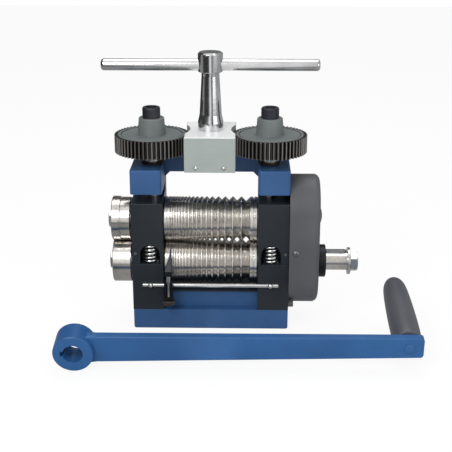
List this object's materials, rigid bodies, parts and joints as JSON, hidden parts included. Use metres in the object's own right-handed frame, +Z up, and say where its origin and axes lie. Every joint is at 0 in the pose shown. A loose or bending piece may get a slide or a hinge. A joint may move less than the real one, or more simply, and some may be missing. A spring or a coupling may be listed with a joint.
{
  "type": "jewellers rolling mill",
  "caption": "Hand-cranked bench rolling mill with grooved and plain steel rollers, geared screw adjustment under a T handle, sprung bearing blocks, gear cover, wire guide and a separate crank.",
  "frame": {"origin": "on the base's underside, at the centre of the pattern of threaded bench holes, straight below the roller axes", "axes": "+X along the rollers towards the crank end, +Y to the back, +Z up"},
  "size_m": [0.4013, 0.1946, 0.3225],
  "materials": {
    "frame_blue": "satin blue paint",
    "crank_blue": "gloss blue paint",
    "block_black": "satin black",
    "bronze": "turned",
    "nut_bronze": "darkened, knurled",
    "roller_steel": "ground",
    "bright_steel": "turned",
    "spring_steel": "bright",
    "gear_steel": "dull, machined",
    "black_oxide": "black oxide",
    "cover_grey": "satin dark grey",
    "gearbox_plate": "ground",
    "grip_black": "satin"
  },
  "bodies": {
    "frame": {"base": "frame_blue", "left_housing": "frame_blue", "right_housing": "frame_blue", "tie_bar": "frame_blue", "cross_beam": "frame_blue", "frame_bolts": "black_oxide", "tie_bolts": "black_oxide", "left_lower_block": "block_black", "right_lower_block": "block_black", "lower_bushes": "bronze", "guide_strips": "bright_steel", "left_lift_spring": "spring_steel", "right_lift_spring": "spring_steel", "pressure_nuts": "bronze", "gearbox_housing": "gearbox_plate", "gearbox_base": "gearbox_plate", "gearbox_screws": "bright_steel", "gearbox_bolts": "black_oxide", "post_bushes": "bronze", "gear_cover": "cover_grey", "cover_cap": "cover_grey", "cover_plug": "bright_steel", "cover_screws": "black_oxide", "side_bolt": "bright_steel", "guide_rod": "bright_steel", "rod_screws": "bright_steel"},
    "carriage": {"left_upper_block": "block_black", "right_upper_block": "block_black", "upper_bushes": "bronze", "oilers": "bright_steel"},
    "upper_roller": {"upper_roller": "roller_steel", "upper_extension_roller": "roller_steel", "upper_shaft_nuts": "bright_steel", "upper_drive_gear": "gear_steel", "upper_gear_key": "bright_steel"},
    "lower_roller": {"lower_roller": "roller_steel", "lower_extension_roller": "roller_steel", "lower_shaft_nut": "bright_steel", "lower_drive_gear": "gear_steel", "lower_shaft_keys": "bright_steel", "drive_collar": "black_oxide", "shaft_washer": "bright_steel", "shaft_bolt": "bright_steel"},
    "left_screw": {"left_pressure_screw": "bright_steel", "left_top_gear": "gear_steel", "left_cap_screw": "black_oxide"},
    "right_screw": {"right_pressure_screw": "bright_steel", "right_top_gear": "gear_steel", "right_cap_screw": "black_oxide"},
    "handle": {"t_post": "bright_steel", "t_bar": "bright_steel", "pinion": "gear_steel", "pinion_key": "bright_steel"},
    "wire_guide": {"guide_slider": "black_oxide"},
    "guide_finger": {"guide_finger": "black_oxide", "guide_stud": "bright_steel"},
    "thumb_nut": {"thumb_nut": "nut_bronze"},
    "crank": {"crank_arm": "crank_blue", "grip_pin": "bright_steel"},
    "crank_grip": {"crank_grip": "grip_black"}
  },
  "joints": [
    {"name": "handle_spin", "type": "hinge", "parent": "frame", "child": "handle", "pos_m": [0, 0, 0.308], "axis": [0, 0, 1], "range_deg": [-1697.1, 0]},
    {"name": "carriage_lift", "type": "slide", "parent": "frame", "child": "carriage", "axis": [0, 0, 1], "range_m": [0, 0.006], "deforming": ["left_lift_spring", "right_lift_spring"]},
    {"name": "left_screw_spin", "type": "hinge", "parent": "carriage", "child": "left_screw", "pos_m": [-0.0675, 0, 0.2], "axis": [0, 0, 1], "range_deg": [0, 1080]},
    {"name": "right_screw_spin", "type": "hinge", "parent": "carriage", "child": "right_screw", "pos_m": [0.0675, 0, 0.2], "axis": [0, 0, 1], "range_deg": [0, 1080]},
    {"name": "lower_spin", "type": "hinge", "parent": "frame", "child": "lower_roller", "pos_m": [0, 0, 0.0745], "axis": [1, 0, 0], "continuous": true},
    {"name": "upper_spin", "type": "hinge", "parent": "carriage", "child": "upper_roller", "pos_m": [0, 0, 0.1266], "axis": [1, 0, 0], "continuous": true},
    {"name": "guide_slide", "type": "slide", "parent": "frame", "child": "wire_guide", "axis": [1, 0, 0], "range_m": [-0.0013, 0.0983]},
    {"name": "finger_drop", "type": "slide", "parent": "wire_guide", "child": "guide_finger", "axis": [0, 0, 1], "range_m": [-0.006, 0]},
    {"name": "thumb_nut_spin", "type": "hinge", "parent": "guide_finger", "child": "thumb_nut", "pos_m": [-0.0485, -0.0435, 0.0366], "axis": [0, 0, 1], "continuous": true},
    {"name": "crank_lift", "type": "slide", "parent": "frame", "child": "crank", "axis": [0, 0, 1], "range_m": [0, 0.1]},
    {"name": "grip_spin", "type": "hinge", "parent": "crank", "child": "crank_grip", "pos_m": [0.21758, -0.1335, 0.02795], "axis": [-0.0052, 0.9877, 0.1564], "continuous": true}
  ],
  "couplings": [
    {"joint": "carriage_lift", "follows": "handle_spin", "m_per_rad": -0.00020256},
    {"joint": "left_screw_spin", "follows": "handle_spin", "ratio": -0.63636},
    {"joint": "right_screw_spin", "follows": "handle_spin", "ratio": -0.63636},
    {"joint": "upper_spin", "follows": "lower_spin", "ratio": -1}
  ]
}
